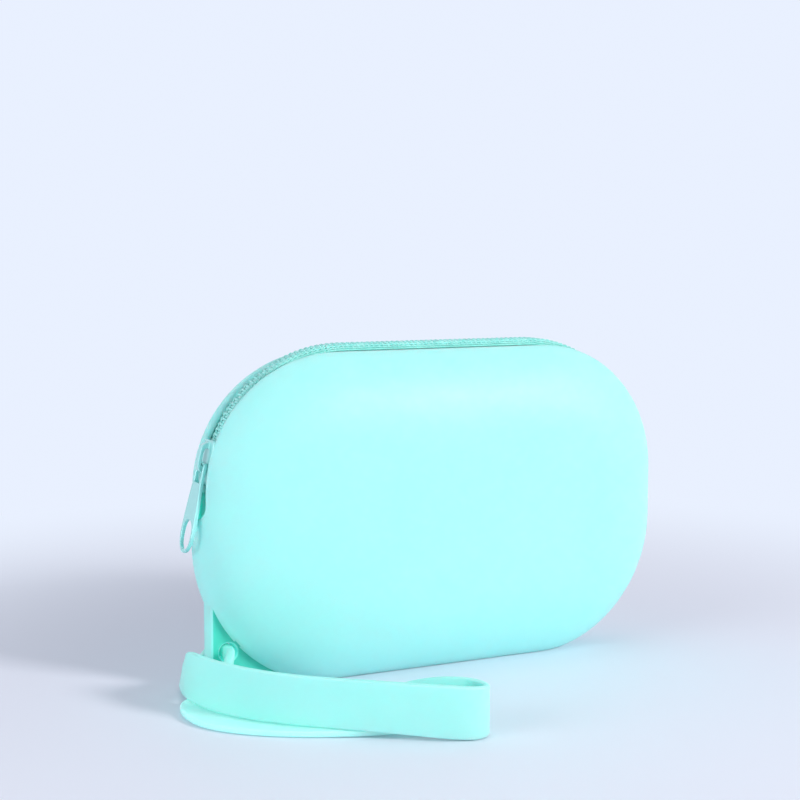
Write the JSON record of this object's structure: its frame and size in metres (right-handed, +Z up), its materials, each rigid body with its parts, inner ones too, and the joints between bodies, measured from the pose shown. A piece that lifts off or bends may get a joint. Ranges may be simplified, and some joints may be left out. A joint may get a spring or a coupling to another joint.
{
  "type": "silicone zip pouch",
  "caption": "Rounded soft silicone pouch with a zip curving over its top, a drop-shaped zip pull and a flat wrist strap looped through a corner fin.",
  "frame": {"origin": "centre of the flat strip under the pouch that it stands on", "axes": "+Z up, -Y out of the front panel, -X towards the end where the zip closes and the strap hangs"},
  "size_m": [0.1481, 0.0856, 0.0906],
  "materials": {
    "body_silicone": "satin moulded silicone",
    "strap_silicone": "satin moulded silicone",
    "zip_tape": "woven polyester",
    "zip_coil": "dyed nylon monofilament",
    "zip_stop": "gloss paint",
    "painted_casting": "gloss paint on zinc"
  },
  "bodies": {
    "pouch": {"silicone_body": "body_silicone", "zip_tape_front": "zip_tape", "zip_tape_rear": "zip_tape", "coil_front": "zip_coil", "coil_rear": "zip_coil", "top_stop_front": "zip_stop", "top_stop_rear": "zip_stop", "bottom_stop": "zip_stop"},
    "slider": {"slider_body": "painted_casting"},
    "pull": {"pull_tab": "painted_casting"},
    "strap": {"wrist_strap": "strap_silicone"}
  },
  "joints": [
    {"name": "slider_travel", "type": "hinge", "parent": "pouch", "child": "slider", "pos_m": [-0.0284, 0, 0.05235], "axis": [0, 1, 0], "range_deg": [0, 69], "deforming": ["coil_front", "coil_rear"]},
    {"name": "pull_swing", "type": "hinge", "parent": "slider", "child": "pull", "pos_m": [-0.06747, 0, 0.06024], "axis": [0, 1, 0], "range_deg": [0, 158]},
    {"name": "strap_swing", "type": "hinge", "parent": "pouch", "child": "strap", "pos_m": [-0.062, 0, 0.0103], "axis": [0, 1, 0], "range_deg": [-15, 42]}
  ]
}
